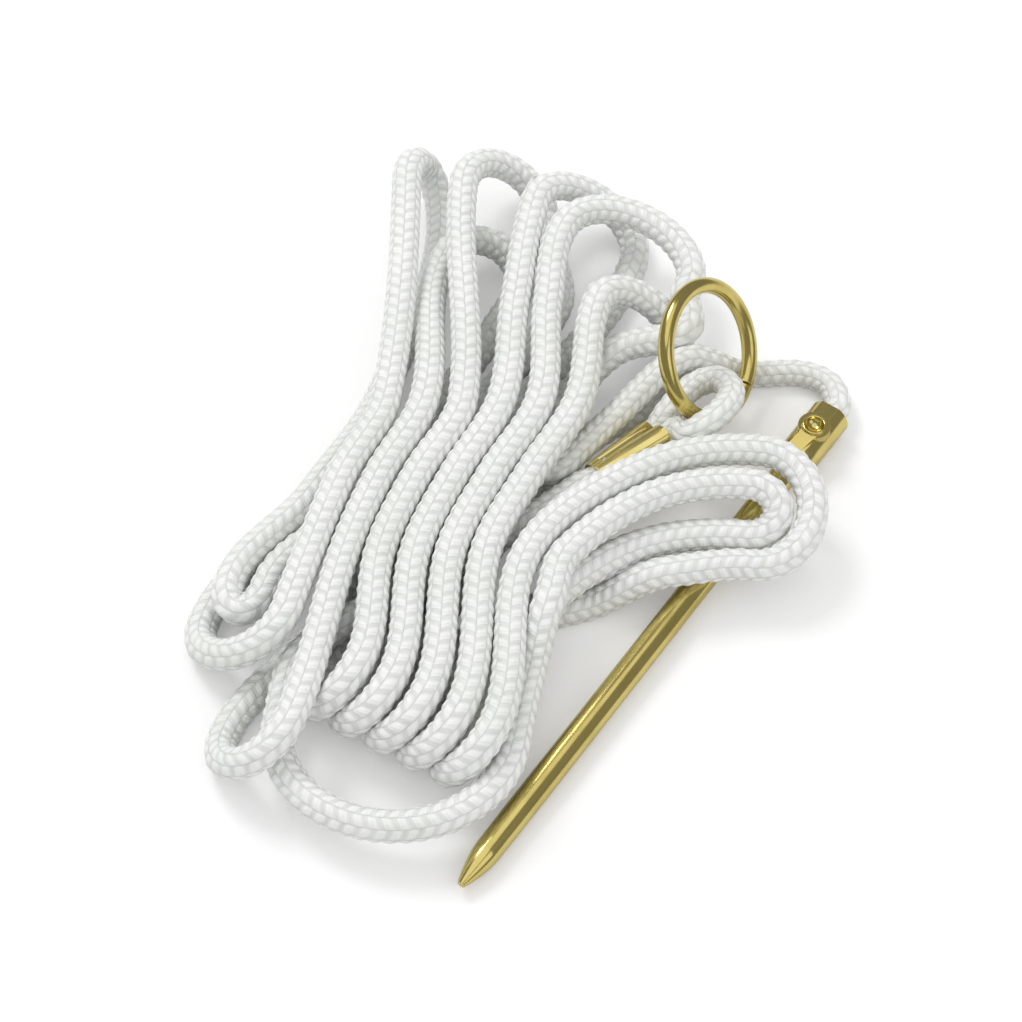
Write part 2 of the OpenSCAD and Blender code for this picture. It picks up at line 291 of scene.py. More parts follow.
@dataclass
class HankRoute:
    """The one unbroken route of the cord: spike, lead, hank, ferrule."""

    layout: Layout
    upper_y: tuple[float, ...] = (34, 13.5, -1.5, -16.6)
    upper_x: tuple[float, ...] = (-16.2, -20.8, -27.4, -32.2)
    upper_pitch: tuple[float, ...] = (5.6, 6.4, 6.1, 5.65)
    lower_y: tuple[float, ...] = (-24, 10)
    lower_x: tuple[float, ...] = (-48, -33)
    lower_pitch: tuple[float, ...] = (5.8, 6.7)
    first_bend: Bend = Bend(-42.3, -19.5, 3, 5, -15, 1, 1)
    edge_first: Bend = Bend(-27.3, -36.5, 3.7, 6, -25, 2, 0)
    edge_pitch: tuple[float, float] = (5.25, -2.95)
    start_way: tuple[Place, ...] = ((-4, 2.4, 1), (-24, -5, 1))
    end_way: tuple[Place, ...] = ((-33, -32.5, 1), (-15, -19, 1))
    lead_places: tuple[Place, ...] = (
        (18.2, 15.2, 7.3), (22, 19.8, 7.3), (26, 24.2, 7.4), (30.4, 26.8, 7.2),
        (34.4, 27.4, 5.2), (38, 27.4, 2.8), (42, 27.4, 1.8), (45.4, 27.6, 1.8),
        (48.8, 27.7, 1.8), (52.2, 26.6, 2), (54.6, 24.3, 2.4), (55.4, 21.2, 2.9),
    )
    fineness: int = 24

    def upper(self, lane: int, first: int = 1) -> list[Place]:
        """Returns the stations of an upper strand in its lane, from the first one on."""
        return [(self.upper_x[s] + lane * self.upper_pitch[s], self.upper_y[s], 2)
                for s in range(first, len(self.upper_x))]

    def lower(self, lane: int, first: int = 0) -> list[Place]:
        """Returns the stations of a lower strand in its lane, from the first one on."""
        return [(self.lower_x[s] + lane * self.lower_pitch[s], self.lower_y[s], 0)
                for s in range(first, len(self.lower_x))]

    def edge_bend(self, j: int) -> Bend:
        """Returns one of the small bends along the lower edge."""
        first, (right, down) = self.edge_first, self.edge_pitch
        return replace(first, x=first.x + right * j, y=first.y + down * j)

    def rows(self) -> list[Row]:
        """Returns each row: way up, top bend, way down, bottom bend."""
        return [
            ([(-33, -2, 1), (-22, 22, 0.3)], Bend(-15.4, 61, 2.9, 9, 0, 0, 2),
             self.upper(0), Bend(-42.5, -25.5, 7.5, 7.5, -15, 2, 0)),
            (self.lower(2, 1), Bend(-5, 47, 6.5, 7, -28, 0, 1),
             self.upper(1), Bend(-39.5, -46, 5.8, 7, -20, 2, 0)),
            (self.lower(3) + [(8, 42, 0)], Bend(-1, 60, 7.4, 9.5, -5, 0, 2),
             self.upper(2), self.edge_bend(0)),
            (self.lower(4), Bend(13, 55, 9, 8, -15, 0, 2),
             self.upper(3, 0), self.edge_bend(1)),
            (self.lower(5) + [(9.5, 21, 0.4), (19, 29, 1), (29.8, 31.4, 1.3)],
             Bend(19.9, 46, 11.9, 9, -30, 1.3, 2), self.upper(4, 0), self.edge_bend(2)),
            ([(-12.8, -24, 0), (8.4, 9, 0)], Bend(21.8, 32, 7.6, 7, -20, 0, 2),
             self.upper(5), self.edge_bend(3)),
            ([(-8.2, -28, 0), (12, -20, 0), (25.5, -17.4, 1.1)],
             Bend(40, -6.5, 9.7, 9, -97, 1.1, 2), [(22, 0, 2), (2.8, -16.6, 2)],
             self.edge_bend(4)),
            ([(-1.5, -31, 1), (18, -13.5, 1.1)], Bend(38.6, -7, 3.4, 4.8, -97, 1.1, 2),
             [(23, -6, 2), (9, -17, 2), (6, -26, 2), (2.8, -37, 1.05)],
             Bend(-18, -46.8, 18.6, 16.4, -10, 1.05, 0.7)),
        ]

    def hank(self) -> np.ndarray:
        """Lays the hank.

        Returns:
            Its places in layout millimetres, from where the lead comes in to the ferrule's socket.
        """
        lay, n = self.layout, self.fineness
        start = np.array(lay.hank_start)
        straight = start + np.append(lay.rope_d * aim(lay.hank_start_aim), 0.0)
        stub = np.append(lay.on_ferrule(-lay.rope_d)[:2], 1.0)
        places = [start]
        places += way([straight, *self.start_way, self.first_bend.right()],
                      aim(lay.hank_start_aim), -self.first_bend.up(), n)
        places += self.first_bend.points(-1, n)
        before = self.first_bend
        for way_up, top, way_down, bottom in self.rows():
            places += way([before.left(), *way_up, top.right()], before.up(), top.up(), n)
            places += top.points(1, n)
            places += way([top.left(), *way_down, bottom.right()], -top.up(), -bottom.up(), n)
            places += bottom.points(-1, n)
            before = bottom
        places += way([before.left(), *self.end_way, stub], before.up(),
                      aim(lay.ferrule_heading), n)
        levels = np.array(places + [stub])
        laid = np.column_stack([levels[:, :2], [lay.level_z(level) for level in levels[:, 2]]])
        return np.vstack([laid, lay.on_ferrule(lay.grip_depth)])

    def lead(self) -> np.ndarray:
        """Lays the lead.

        Returns:
            Its places in layout millimetres, from inside the spike's socket to the hank.
        """
        lay = self.layout
        start = np.array([*lay.hank_start[:2], lay.level_z(lay.hank_start[2])])
        stub = start - lay.rope_d * np.append(aim(lay.hank_start_aim), 0.0)
        ends = [lay.on_spike(lay.spike_len + past)
                for past in (-lay.socket_depth, 0.0, lay.rope_d / 2)]
        return curve_through(np.array([*ends, *self.lead_places[::-1], stub, start]), self.fineness)

    def whole(self, step: float) -> np.ndarray:
        """Returns the whole route in metres, with a point at each step of so many millimetres."""
        return to_frame(evenly(np.vstack([self.lead()[:-1], self.hank()]), step))


@dataclass
class EyeRoute:
    """The short eye of cord that holds the ring, from lobe to lobe of the ferrule."""

    layout: Layout
    places: tuple[Place, ...] = (
        (29.2, 8, 10.8), (33, 9.4, 12.8), (36, 13.6, 11.8), (36.8, 17.8, 10), (35, 21.4, 8.2),
        (31.6, 21.4, 7), (28.2, 18.2, 6.6), (25.8, 14.8, 6.4),
    )
    fineness: int = 24

    def whole(self, step: float) -> np.ndarray:
        """Returns the eye's route in metres, with a point at each step of so many millimetres."""
        lay = self.layout
        reach = (-lay.grip_depth, lay.play, lay.rope_d / 2)
        leaving = [lay.on_lobe(-1, along) for along in reach]
        back = [lay.on_lobe(1, along) for along in reversed(reach)]
        line = curve_through(np.array([*leaving, *self.places, *back]), self.fineness)
        return to_frame(evenly(line, step))


# Shader graph


Number = Union["Signal", float, int]


class Signal:
    """A number socket that adds Math nodes when it stands in an expression."""

    def __init__(self, graph: "Graph", socket: bpy.types.NodeSocket) -> None:
        """Wraps a socket of a graph."""
        self.graph = graph
        self.socket = socket

    def math(self, operation: str, *values: Number, clamp: bool = False) -> "Signal":
        """Adds a Math node.

        Args:
            operation: The node's operation.
            values: Its inputs in order.
            clamp: Whether the result is held between 0 and 1.

        Returns:
            The node's result.
        """
        settings = {"operation": operation, "use_clamp": clamp}
        made = self.graph.node("ShaderNodeMath", settings, dict(enumerate(values)))
        return self.graph.signal(made)

    def __add__(self, other: Number) -> "Signal":
        """Adds."""
        return self.math("ADD", self, other)

    def __sub__(self, other: Number) -> "Signal":
        """Subtracts."""
        return self.math("SUBTRACT", self, other)

    def __rsub__(self, other: Number) -> "Signal":
        """Subtracts from a number."""
        return self.math("SUBTRACT", other, self)

    def __mul__(self, other: Number) -> "Signal":
        """Multiplies."""
        return self.math("MULTIPLY", self, other)

    __radd__ = __add__
    __rmul__ = __mul__

    def cos(self) -> "Signal":
        """Returns the cosine."""
        return self.math("COSINE", self)

    def sin(self) -> "Signal":
        """Returns the sine."""
        return self.math("SINE", self)

    def fract(self) -> "Signal":
        """Returns what is left above the whole number."""
        return self.math("FRACT", self)

    def held(self) -> "Signal":
        """Returns the value held between 0 and 1."""
        return self.math("ADD", self, 0.0, clamp=True)

    def above(self, low: float, high: float) -> "Signal":
        """Returns 0 below low, 1 above high and a straight ramp between."""
        return self.math("MULTIPLY", self - low, 1 / (high - low), clamp=True)


class Graph:
    """A node tree under construction."""

    def __init__(self, tree: bpy.types.NodeTree) -> None:
        """Empties the tree."""
        self.tree = tree
        tree.nodes.clear()

    def node(self, kind: str, settings: Optional[dict[str, Any]] = None,
             inputs: Optional[dict[Union[str, int], Any]] = None) -> bpy.types.Node:
        """Adds a node.

        Args:
            kind: The node's type.
            settings: Its properties, which are set first.
            inputs: Values or links of its sockets, by name or number.

        Returns:
            The node.
        """
        made = self.tree.nodes.new(kind)
        for name, value in (settings or {}).items():
            setattr(made, name, value)
        for name, value in (inputs or {}).items():
            socket = made.inputs[name]
            if isinstance(value, Signal):
                value = value.socket
            if isinstance(value, bpy.types.NodeSocket):
                self.tree.links.new(value, socket)
            else:
                socket.default_value = value
        return made

    def signal(self, node: bpy.types.Node, output: Union[str, int] = 0) -> Signal:
        """Returns a node's output as a number that can stand in an expression."""
        return Signal(self, node.outputs[output])

    def mixed(self, factor: Number, first: Any, second: Any) -> bpy.types.NodeSocket:
        """Mixes two colours.

        Args:
            factor: 0 gives the first colour, 1 the second.
            first: A colour or a link.
            second: A colour or a link.

        Returns:
            The mixed colour's socket.
        """
        made = self.node("ShaderNodeMix", {"data_type": "RGBA"}, {0: factor, 6: first, 7: second})
        return made.outputs[2]

    def noise(self, vector: bpy.types.NodeSocket, scale: float, detail: float) -> Signal:
        """Returns a noise on a vector, about 0.5 in the mean."""
        inputs = {"Vector": vector, "Scale": scale, "Detail": detail}
        return self.signal(self.node("ShaderNodeTexNoise", inputs=inputs))

    def bump(self, lift: Signal, strength: float) -> bpy.types.NodeSocket:
        """Returns the normal of a surface that is lifted by so many metres."""
        inputs = {"Strength": strength, "Distance": 1.0, "Height": lift}
        return self.node("ShaderNodeBump", inputs=inputs).outputs[0]

    def close(self, last: bpy.types.Node, kind: str = "ShaderNodeOutputMaterial") -> None:
        """Links the last shader to the tree's output."""
        self.node(kind, inputs={0: last.outputs[0]})


def new_material(name: str) -> tuple[bpy.types.Material, Graph]:
    """Makes a material with nodes.

    Args:
        name: Its name.

    Returns:
        The material and its graph, which is empty.
    """
    made = bpy.data.materials.new(name)
    made.use_nodes = True
    return made, Graph(made.node_tree)


@dataclass(frozen=True)
class BraidFinish:
    """White braided cord: columns of slanting stitches, with painted shade greying the hollows
    between them.
    """

    name: str = "white_braid"
    yarn: Colour = (0.90, 0.905, 0.89, 1)
    shade: Colour = (0.84, 0.855, 0.82, 1)
    shade_range: tuple[float, float] = (0.35, 0.7)
    # Painted shade in the hollows between stitches: the grey colour, the stitch heights it covers,
    # and how far its depth varies at random.
    pit: Colour = (0.56, 0.57, 0.53, 1)
    pit_shade_range: tuple[float, float] = (0.05, 0.5)
    pit_shade_least: float = 0.1
    pit_shade_patchiness: float = 0.95
    crest_power: float = 0.8
    column_power: float = 0.4
    valley: float = 0.12
    threads: float = 4.0
    relief: float = 0.00034
    thread_relief: float = 0.00003
    fuzz_share: float = 1.5
    bump_strength: float = 0.8
    fuzz_scale: float = 1800.0
    tone_scale: float = 60.0
    # Size of the random patches where the painted shade between stitches is deeper or fainter.
    shade_patch_scale: float = 420.0
    noise_detail: float = 2.0
    roughness: float = 0.5
    specular: float = 0.4
    glow_through: float = 0.15
    glow_radius: Place = (1.0, 1.0, 0.9)
    glow_depth: float = 0.0015

    def material(self) -> bpy.types.Material:
        """Builds the material, which reads the cord's own map: stitches along, columns round.

        Returns:
            The material.
        """
        made, g = new_material(self.name)
        uv = g.node("ShaderNodeUVMap", {"uv_map": "braid"})
        parts = g.node("ShaderNodeSeparateXYZ", inputs={0: uv.outputs[0]})
        along, around = g.signal(parts, 0), g.signal(parts, 1)
        turn = 2 * math.pi
        across = around.fract()
        odd = (0.5 * around.math("FLOOR", around)).fract() * 2.0
        stitch = along + 0.5 * odd + STITCH_SLANT * (1.0 - 2.0 * odd) * (across - 0.5)
        wave = 0.5 + 0.5 * (turn * stitch).cos()
        crest = wave.math("POWER", wave, self.crest_power)
        column = (math.pi * across).sin()
        column_shape = column.math("POWER", column.held(), self.column_power)
        height = column_shape * (self.valley + (1 - self.valley) * crest)
        fine = (turn * self.threads * stitch).cos() * column_shape
        place = g.node("ShaderNodeTexCoord").outputs["Object"]
        fuzz = g.noise(place, self.fuzz_scale, self.noise_detail)
        tone = g.noise(place, self.tone_scale, self.noise_detail)
        # Painted shade: the low parts between and round the stitches are mixed toward the grey pit
        # colour, deeper in some random patches than in others.
        shade_patches = g.noise(place, self.shade_patch_scale, self.noise_detail)
        pit_shade = (1.0 - height.above(*self.pit_shade_range)) * (self.pit_shade_least + self.pit_shade_patchiness * shade_patches)
        cloth = g.mixed(tone.above(*self.shade_range), self.yarn, self.shade)
        colour = g.mixed(pit_shade.held(), cloth, self.pit)
        lift = height * self.relief + (fine + fuzz * self.fuzz_share) * self.thread_relief
        g.close(g.node("ShaderNodeBsdfPrincipled", inputs={
            "Base Color": colour, "Roughness": self.roughness,
            "Specular IOR Level": self.specular, "Subsurface Weight": self.glow_through,
            "Subsurface Radius": self.glow_radius, "Subsurface Scale": self.glow_depth,
            "Normal": g.bump(lift, self.bump_strength),
        }))
        return made


@dataclass(frozen=True)
class BrassFinish:
    """Polished brass with faint drawn lines and a little tarnish."""

    name: str
    bright: Colour = (0.74, 0.61, 0.21, 1)
    dull: Colour = (0.62, 0.50, 0.15, 1)
    dull_range: tuple[float, float] = (0.4, 0.75)
    heading: float = 0.0
    line_stretch: float = 12.0
    line_scale: float = 900.0
    line_detail: float = 2.0
    tone_scale: float = 160.0
    tone_detail: float = 3.0
    roughness: float = 0.16
    line_roughness: float = 0.12
    dull_roughness: float = 0.08
    rough_range: tuple[float, float] = (0.45, 0.8)
    relief: float = 0.00001
    bump_strength: float = 0.5

    def material(self) -> bpy.types.Material:
        """Builds the material, which reads Object coordinates turned to the piece's own length.

        Returns:
            The material.
        """
        made, g = new_material(self.name)
        place = g.node("ShaderNodeTexCoord").outputs["Object"]
        drawn = g.node("ShaderNodeMapping", {"vector_type": "TEXTURE"}, {
            "Vector": place, "Rotation": (0.0, 0.0, math.radians(self.heading)),
            "Scale": (self.line_stretch, 1.0, 1.0),
        }).outputs[0]
        lines = g.noise(drawn, self.line_scale, self.line_detail)
        tone = g.noise(place, self.tone_scale, self.tone_detail)
        colour = g.mixed(tone.above(*self.dull_range), self.bright, self.dull)
        rough = (
            self.roughness + (lines - 0.5) * self.line_roughness
            + tone.above(*self.rough_range) * self.dull_roughness
        )
        g.close(g.node("ShaderNodeBsdfPrincipled", inputs={
            "Base Color": colour, "Metallic": 1.0, "Roughness": rough,
            "Normal": g.bump(lines * self.relief, self.bump_strength),
        }))
        return made


# Cords


@dataclass(frozen=True)
class BraidedTube:
    """A braided cord as one closed tube whose sides carry the braid's bumps."""

    radius: float = 2.58
    bump: float = 0.13
    groove: float = 0.05
    columns: int = 8
    sides_per_column: int = 3
    stitch: float = 2.24
    rings_per_stitch: int = 4

    def step(self) -> float:
        """Returns the distance between two rings, in millimetres."""
        return self.stitch / self.rings_per_stitch

    def skin(self, path: np.ndarray, squeeze: np.ndarray) -> np.ndarray:
        """Lays the tube's points round its path.

        Args:
            path: The cord's middle, in metres, one point to a ring.
            squeeze: The radius at each point, as a share of the full one.

        Returns:
            Ring by ring and side by side, each point's place, none of them below the floor.
        """
        sides = self.columns * self.sides_per_column
        aims = np.gradient(path, axis=0)
        aims /= np.linalg.norm(aims, axis=1)[:, None]
        across = np.cross(aims, [0.0, 0.0, 1.0])
        across /= np.linalg.norm(across, axis=1)[:, None]
        up = np.cross(across, aims)
        angle = 2 * math.pi * np.arange(sides) / sides
        stitches = np.arange(len(path)) / self.rings_per_stitch
        column, part = np.divmod(np.arange(sides), self.sides_per_column)
        part = part / self.sides_per_column
        odd = column % 2
        shift = 0.5 * odd + STITCH_SLANT * (1 - 2 * odd) * (part - 0.5)
        crests = np.cos(2 * math.pi * (stitches[:, None] + shift[None, :])) * (part > 0)
        dips = self.groove * (part == 0)
        radius = (self.radius * squeeze[:, None] + self.bump * crests - dips) * MM
        points = (
            path[:, None, :]
            + (radius * np.cos(angle))[:, :, None] * across[:, None, :]
            + (radius * np.sin(angle))[:, :, None] * up[:, None, :]
        )
        points[:, :, 2] = np.maximum(points[:, :, 2], 0.0)
        return points

    def build(self, name: str, path: np.ndarray, squeeze: np.ndarray) -> bpy.types.Object:
        """Sweeps the tube along a path and maps its stitches.

        Args:
            name: The new object's name.
            path: The cord's middle, in metres, one point to a ring.
            squeeze: The radius at each point, as a share of the full one.

        Returns:
            The tube, which lies flat where it meets the floor.
        """
        n, sides = len(path), self.columns * self.sides_per_column
        ring, side = np.meshgrid(np.arange(n - 1), np.arange(sides), indexing="ij")
        near, far, after = ring * sides, (ring + 1) * sides, (side + 1) % sides
        walls = np.stack([near + side, far + side, far + after, near + after], axis=-1)
        walls = walls.reshape(-1, 4)
        front = list(range(sides))
        back = [(n - 1) * sides + k for k in range(sides - 1, -1, -1)]
        mesh = bpy.data.meshes.new(name)
        points = self.skin(path, squeeze).reshape(-1, 3).tolist()
        mesh.from_pydata(points, [], walls.tolist() + [front, back])
        along = np.stack([ring, ring + 1, ring + 1, ring], axis=-1).reshape(-1)
        around = np.stack([side, side, side + 1, side + 1], axis=-1).reshape(-1)
        uv = np.zeros((walls.size + 2 * sides, 2), np.float32)
        uv[:walls.size, 0] = along / self.rings_per_stitch
        uv[:walls.size, 1] = around / self.sides_per_column
        mesh.uv_layers.new(name="braid").data.foreach_set("uv", uv.ravel())
        mesh.validate()
        mesh.update()
        made = bpy.data.objects.new(name, mesh)
        bpy.context.scene.collection.objects.link(made)
        for polygon in mesh.polygons:
            polygon.use_smooth = True
        return made


def squeezed(path: np.ndarray, share: float, run_in: float, run_out: float) -> np.ndarray:
    """Gives the tube's radius near a gripped start of a path, as a share of the full one.

    Args:
        path: The cord's middle, in metres.
        share: The share at the gripped end.
        run_in: How far the full grip reaches, in millimetres.
        run_out: How far the cord takes to fill out again, in millimetres.

    Returns:
        The share at each point.
    """
    filled = np.clip((distances(path) / MM - run_in) / run_out, 0.0, 1.0)
    return share + (1 - share) * smooth(filled)


class Lay(Enum):
    """How a run of cord lies."""

    COILED = "coiled"
    LOOSE = "loose"


@dataclass
class Cord:
    """The stringer's cord: the long run with its hank, and the short eye that holds the ring."""

    layout: Layout
    finish: BraidFinish = BraidFinish()
    long_tube: BraidedTube = BraidedTube()
    eye_tube: BraidedTube = BraidedTube(radius=2.3, bump=0.08)
    lead_share: float = 0.88
    fill_out: float = 40.0
    hank_pinch: float = 0.74
    eye_pinch: float = 0.78
    pinch_run: float = 3.0

    def declare(self, made: bpy.types.Object, exit_place: np.ndarray) -> None:
        """Puts a run of cord on the body it rides on.

        Args:
            made: The run.
            exit_place: Where it leaves the piece that grips it; not used.
        """
        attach(made, CORD_BODY)

    def pinched(self, path: np.ndarray, share: float) -> np.ndarray:
        """Returns the share of the full radius near a path's end that the ferrule grips."""
        return squeezed(path[::-1], share, self.layout.grip_depth, self.pinch_run)[::-1]

    def build(self) -> list[bpy.types.Object]:
        """Builds both runs.

        Returns:
            The long run and the eye.
        """
        lay = self.layout
        white = self.finish.material()
        route = HankRoute(lay)
        path = route.whole(self.long_tube.step())
        grip = squeezed(path, self.lead_share, length_of(route.lead()), self.fill_out)
        squeeze = np.minimum(grip, self.pinched(path, self.hank_pinch))
        long_run = self.long_tube.build("braided_cord", path, squeeze)
        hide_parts("rope_hank", "rope_lead")
        self.declare(long_run, to_frame(lay.on_spike(lay.spike_len)))
        path = EyeRoute(lay).whole(self.eye_tube.step())
        squeeze = np.minimum(self.pinched(path[::-1], self.eye_pinch)[::-1],
                             self.pinched(path, self.eye_pinch))
        eye = self.eye_tube.build("cord_eye", path, squeeze)
        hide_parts("rope_eye")
        self.declare(eye, to_frame(lay.on_lobe(-1, lay.play)))
        for made in (long_run, eye):
            made.data.materials.append(white)
        return [long_run, eye]


# Metalwork, modelled with one millimetre to a unit


class Pick(Enum):
    """What a selection in edit mode takes."""

    FACES = "FACE"
    POINTS = "VERT"


class Cut(Enum):
    """How one solid changes another."""

    JOIN = "UNION"
    REMOVE = "DIFFERENCE"


@dataclass(frozen=True)
class Round:
    """A round on edges sharper than so many degrees, and the reach of the weld before it."""

    width: float
    steps: int
    from_angle: float
    weld: float = 0.02


def select_none() -> None:
    """Deselects every object."""
    bpy.ops.object.select_all(action="DESELECT")


class MetalPiece:
    """A metal piece, and the hand tools that shape it along its own x axis."""

    name: str
    node: str
    slot: str
    body: str
    edges: Round
    finish: BrassFinish
    work: Optional[bpy.types.Object] = None
    slit_sides: int = 8
    smooth_angle: float = 32.0
    normal_weight: int = 60

    def alone(self, made: bpy.types.Object) -> None:
        """Leaves edit mode, and selects one object and nothing else.

        Args:
            made: The object.
        """
        if bpy.context.mode != "OBJECT":
            bpy.ops.object.mode_set(mode="OBJECT")
        select_none()
        made.select_set(True)
        bpy.context.view_layer.objects.active = made

    def applied(self, made: bpy.types.Object) -> bpy.types.Object:
        """Applies an object's place, turn and size to its mesh.

        Args:
            made: The object.

        Returns:
            The same object.
        """
        self.alone(made)
        bpy.ops.object.transform_apply(location=True, rotation=True, scale=True)
        return made

    def taken(self) -> bpy.types.Object:
        """Returns the primitive that was just added, with its place applied."""
        return self.applied(bpy.context.active_object)

    def rod(self, radius: float, start: float, end: float, sides: int = 64) -> bpy.types.Object:
        """Adds a closed rod along x.

        Args:
            radius: Its radius.
            start: Where it starts on the axis.
            end: Where it ends.
            sides: The number of its sides.

        Returns:
            The rod.
        """
        select_none()
        bpy.ops.mesh.primitive_cylinder_add(
            vertices=sides, radius=radius, depth=end - start,
            location=((start + end) / 2, 0, 0), rotation=(0, math.pi / 2, 0))
        return self.taken()

    def edit(self, kind: Pick = Pick.FACES, action: str = "SELECT") -> None:
        """Takes the work into edit mode.

        Args:
            kind: What is selected there.
            action: SELECT for all of it, or DESELECT.
        """
        self.alone(self.work)
        bpy.ops.object.mode_set(mode="EDIT")
        bpy.ops.mesh.select_mode(type=kind.value)
        bpy.ops.mesh.select_all(action=action)

    def pick(self, kind: Pick, test: Callable[[Vector], bool]) -> None:
        """Selects in edit mode by place.

        Args:
            kind: Faces, by their middles, or points.
            test: Says whether a place is taken.
        """
        self.edit(kind, "DESELECT")
        shape = bmesh.from_edit_mesh(self.work.data)
        for item in shape.faces if kind is Pick.FACES else shape.verts:
            place = item.calc_center_median() if kind is Pick.FACES else item.co
            item.select_set(test(place))
        shape.select_flush_mode()
        bmesh.update_edit_mesh(self.work.data)

    def draw_out(self, length: float, start: float, share: float) -> None:
        """Extrudes the selected end along x and resizes its section.

        Args:
            length: How far the end moves.
            start: Where it was on the axis.
            share: Its new size as a share of the old one.
        """
        bpy.ops.mesh.extrude_region_move(TRANSFORM_OT_translate={"value": (length, 0, 0)})
        bpy.ops.transform.resize(value=(1, share, share), center_override=(start + length, 0, 0))

    def done(self) -> None:
        """Leaves edit mode."""
        bpy.ops.object.mode_set(mode="OBJECT")

    def settled(self, made: bpy.types.Object) -> bpy.types.Object:
        """Puts an object's points and faces in one order, which spin and extrude leave open.

        Args:
            made: The object.

        Returns:
            The same object, with the same mesh in each run.
        """
        mesh = made.data
        places = [tuple(point.co) for point in mesh.vertices]
        order = sorted(range(len(places)), key=lambda k: places[k])
        rank = {old: new for new, old in enumerate(order)}
        faces = []
        for polygon in mesh.polygons:
            loop = [rank[k] for k in polygon.vertices]
            first = loop.index(min(loop))
            faces.append(loop[first:] + loop[:first])
        mesh.clear_geometry()
        mesh.from_pydata([places[k] for k in order], [], sorted(faces))
        return made

    def modify(self, kind: str, **settings: Any) -> None:
        """Adds a modifier to the work and applies it.

        Args:
            kind: The modifier's type.
            settings: Its properties.
        """
        self.alone(self.work)
        made = self.work.modifiers.new(kind.lower(), kind)
        for name, value in settings.items():
            setattr(made, name, value)
        bpy.ops.object.modifier_apply(modifier=made.name)

    def combine(self, tool: bpy.types.Object, how: Cut) -> None:
        """Joins a tool to the work or cuts it away, and removes the tool."""
        self.modify("BOOLEAN", object=tool, operation=how.value, solver="EXACT")
        bpy.data.objects.remove(tool)

    def weld(self, within: float) -> None:
        """Merges the points of the work that lie within a distance, and closes the slits left.

        Args:
            within: The distance.
        """
        self.edit()
        bpy.ops.mesh.remove_doubles(threshold=within)
        bpy.ops.mesh.fill_holes(sides=self.slit_sides)
        self.done()

    def bevel(self, edges: Round) -> None:
        """Rounds the sharp edges of the work."""
        self.modify("BEVEL", width=edges.width, segments=edges.steps, limit_method="ANGLE",
                    angle_limit=math.radians(edges.from_angle))

    def soften(self) -> None:
        """Welds the work, rounds its sharp edges and shades it."""
        self.weld(self.edges.weld)
        self.bevel(self.edges)
        self.weld(self.edges.weld)
        self.alone(self.work)
        bpy.ops.object.shade_smooth_by_angle(angle=math.radians(self.smooth_angle))
        self.modify("WEIGHTED_NORMAL", keep_sharp=True, weight=self.normal_weight)

    def fit(self, place: Matrix) -> bpy.types.Object:
        """Puts the finished piece in its place, dresses it and lets it stand for its node.

        Args:
            place: Takes it from where it was modelled to the frame.

        Returns:
            The piece.
        """
        self.work.name = self.work.data.name = self.name
        self.work.matrix_world = place
        self.applied(self.work)
        self.edit()
        bpy.ops.mesh.normals_make_consistent(inside=False)
        self.done()
        self.work.data.materials.clear()
        self.work.data.materials.append(self.finish.material())
        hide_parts(self.node)
        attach(self.work, self.body)
        return self.work


def placed(at: np.ndarray, *turns: tuple[str, float]) -> Matrix:
    """Gives the matrix that takes a piece from where it was modelled to the frame.

    Args:
        at: Where its own origin lies in the layout.
        turns: Axis and degrees, the outermost first.

    Returns:
        The matrix, which also turns millimetres into metres.
    """
    matrix = Matrix.Translation(Vector(to_frame(at)))
    for axis, degrees in turns:
        matrix = matrix @ Matrix.Rotation(math.radians(degrees), 4, axis)
    return matrix @ Matrix.Scale(MM, 4)


@dataclass
class Ring(MetalPiece):
    """The wire ring with its open butt joint."""

    name: str = "wire_ring"
    node: str = "ring"
    slot: str = "ring_brass"
    body: str = "ring"
    outer_d: float = 25.0
    wire_d: float = 2.7
    seam_width: float = 0.25
    seam_angle: float = 14.0
    place: Place = (33.0, 22.6, 14.1)
    lean: float = 56.4
    heading: float = -27.8
    wire_sides: int = 32
    spin_steps: int = 144
    spin_merge: float = 0.001
    edges: Round = Round(0.18, 3, 60.0)
    finish: BrassFinish = BrassFinish("ring_brass_polished", heading=30.0)

    def build(self) -> bpy.types.Object:
        """Spins the wire from one cut end to the other.

        Returns:
            The ring.
        """
        middle = (self.outer_d - self.wire_d) / 2
        gap = self.seam_width / middle
        select_none()
        bpy.ops.mesh.primitive_circle_add(
            vertices=self.wire_sides, radius=self.wire_d / 2, fill_type="NGON",
            location=(middle, 0, 0), rotation=(math.pi / 2, 0, 0))
        self.work = self.taken()
        self.edit()
        bpy.ops.mesh.spin(
            steps=self.spin_steps, angle=2 * math.pi - gap, center=(0, 0, 0), axis=(0, 0, 1))
        bpy.ops.mesh.select_all(action="SELECT")
        bpy.ops.mesh.remove_doubles(threshold=self.spin_merge)
        bpy.ops.mesh.normals_make_consistent(inside=False)
        self.done()
        self.settled(self.work)
        self.soften()
        from_seam = self.seam_angle + math.degrees(gap) / 2
        turns = (("Z", self.heading), ("Y", self.lean), ("Z", from_seam))
        return self.fit(placed(np.array(self.place), *turns))


